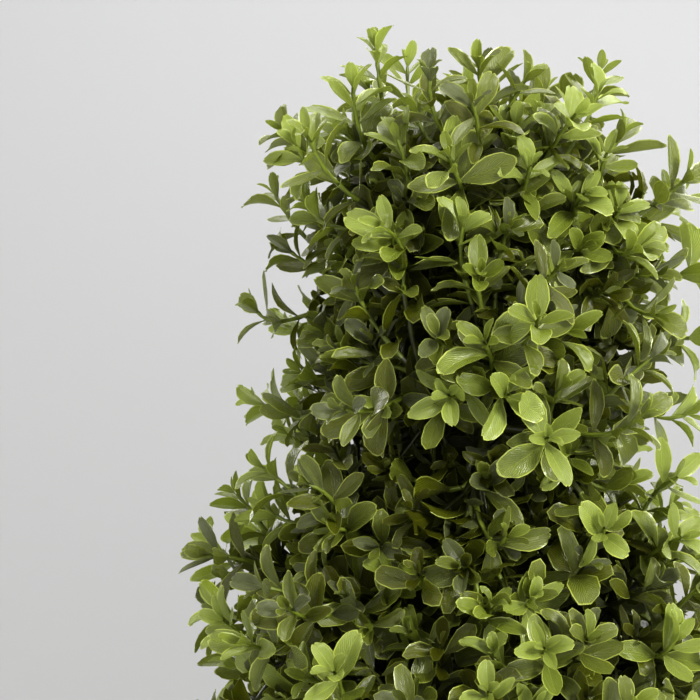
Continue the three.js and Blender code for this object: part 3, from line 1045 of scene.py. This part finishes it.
class TOPIARY_OT_studio(bpy.types.Operator):
    """Sets the pale floor that curves up to a wall, the soft lights and the camera"""

    bl_idname = "topiary.studio"
    bl_label = "Studio"

    def execute(self, context):
        studio = context.scene.topiary_studio
        self.make_floor(studio)
        self.make_lights(context, studio)
        self.make_camera(context, studio)
        view = context.scene.view_settings
        view.view_transform, view.look, view.exposure = "Standard", "Medium High Contrast", 0.1
        return {"FINISHED"}

    def make_floor(self, studio):
        flat, cove = studio.floor_radius, studio.cove
        curve = [math.radians(angle) for angle in range(0, 91, 6)]
        outline = [(0, 0), *((flat + cove * math.sin(a), cove * (1 - math.cos(a))) for a in curve)]
        outline.append((flat + cove, cove + studio.wall_height))
        material, nodes, shader = new_material("floor_paper")
        # Painted light: the wall is paler higher up, and sooner towards +X, as if lit from the upper right
        place = nodes.add("ShaderNodeTexCoord").outputs["Object"]
        split = nodes.add("ShaderNodeSeparateXYZ", {0: place})
        lean = nodes.maths("MULTIPLY_ADD", split.outputs["X"], 0.3, 1.0)
        rise = nodes.maths("MULTIPLY", split.outputs["Z"], lean)
        wall = nodes.mix(nodes.ramp(rise, *studio.shading), paper(0.52), paper(0.77))
        # Painted shade: the floor is darker towards the plant, against the lamps' bright pool round the pot
        away = nodes.add("ShaderNodeVectorMath", {0: place}, operation="LENGTH").outputs["Value"]
        tone = nodes.mix(nodes.ramp(away, 1.5, flat), paper(0.30), wall)
        # Painted light: to the camera the floor shows these painted tones and glows with them; other rays
        # meet an even grey
        seen = nodes.add("ShaderNodeLightPath").outputs["Is Camera Ray"]
        nodes.feed(shader.inputs["Base Color"], nodes.mix(seen, paper(0.6), tone))
        nodes.feed(shader.inputs["Emission Color"], tone)
        nodes.feed(shader.inputs["Emission Strength"], nodes.maths("MULTIPLY", seen, studio.backdrop))
        shader.inputs["Roughness"].default_value = 0.9
        as_piece(spun(outline, 96), "floor", material, sharp_degrees=180)

    def make_lights(self, context, studio):
        world = bpy.data.worlds.new("sky")
        world.use_nodes = True
        background = world.node_tree.nodes["Background"]
        background.inputs["Color"].default_value = (1.0, 0.98, 0.90, 1)
        background.inputs["Strength"].default_value = studio.sky
        context.scene.world = world
        target = Vector((0, 0, CROWN_TOP - 0.2))
        self.lamp("key", (1.6, -2.2, 2.0), 0.8, studio.key, target)
        self.lamp("fill", (-1.8, -2.0, 1.1), 1.6, studio.fill, target)
        self.lamp("rim", (0.5, 0.8, 2.6), 1.0, studio.rim, target)
        self.lamp("left_side", (-1.3, 1.6, 1.3), 0.6, studio.side, target)
        self.lamp("right_side", (1.5, 1.5, 1.3), 0.6, studio.side, target)

    def lamp(self, name, place, size, energy, target):
        light = bpy.data.lights.new(name, "AREA")
        light.size, light.energy = size, energy
        obj = link(bpy.data.objects.new(name, light))
        obj.location = place
        obj.rotation_euler = (target - obj.location).to_track_quat("-Z", "Y").to_euler()

    def make_camera(self, context, studio):
        camera = bpy.data.cameras.new("camera")
        camera.sensor_width = 36
        camera.lens = camera.sensor_width * studio.distance / studio.frame_size
        camera.clip_end = 100
        obj = link(bpy.data.objects.new("camera", camera))
        obj.location = (-studio.aside, -studio.distance, CROWN_TOP - studio.below_top)
        obj.rotation_euler = (math.pi / 2, 0, 0)
        context.scene.camera = obj


# Panel and registration -----------------------------------------------------------------


GROUPS = {
    "topiary_foliage": TopiaryFoliage,
    "topiary_colours": TopiaryColours,
    "topiary_pot": TopiaryPot,
    "topiary_studio": TopiaryStudio,
}
STEPS = (
    TOPIARY_OT_foliage,
    TOPIARY_OT_stem,
    TOPIARY_OT_boughs,
    TOPIARY_OT_pot,
    TOPIARY_OT_fill,
    TOPIARY_OT_studio,
)


class TOPIARY_PT_panel(bpy.types.Panel):
    """Lists the sizes and colours, and a button for each step"""

    bl_idname = "TOPIARY_PT_panel"
    bl_label = "Boxwood Cone Topiary"
    bl_space_type = "VIEW_3D"
    bl_region_type = "UI"
    bl_category = "Topiary"

    def draw(self, context):
        for name, group in GROUPS.items():
            box = self.layout.box()
            box.label(text=group.__doc__)
            for setting in group.__annotations__:
                box.prop(getattr(context.scene, name), setting)
        for step in STEPS:
            self.layout.operator(step.bl_idname)


def register():
    for item in (*GROUPS.values(), *STEPS, TOPIARY_PT_panel):
        bpy.utils.register_class(item)
    for name, group in GROUPS.items():
        setattr(bpy.types.Scene, name, PointerProperty(type=group))


def unregister():
    for name in GROUPS:
        delattr(bpy.types.Scene, name)
    for item in (TOPIARY_PT_panel, *STEPS, *GROUPS.values()):
        bpy.utils.unregister_class(item)


def main():
    register()
    bpy.ops.topiary.foliage()
    bpy.ops.topiary.stem()
    bpy.ops.topiary.boughs()
    bpy.ops.topiary.pot()
    bpy.ops.topiary.fill()
    bpy.ops.topiary.studio()


if __name__ == "__main__":
    main()
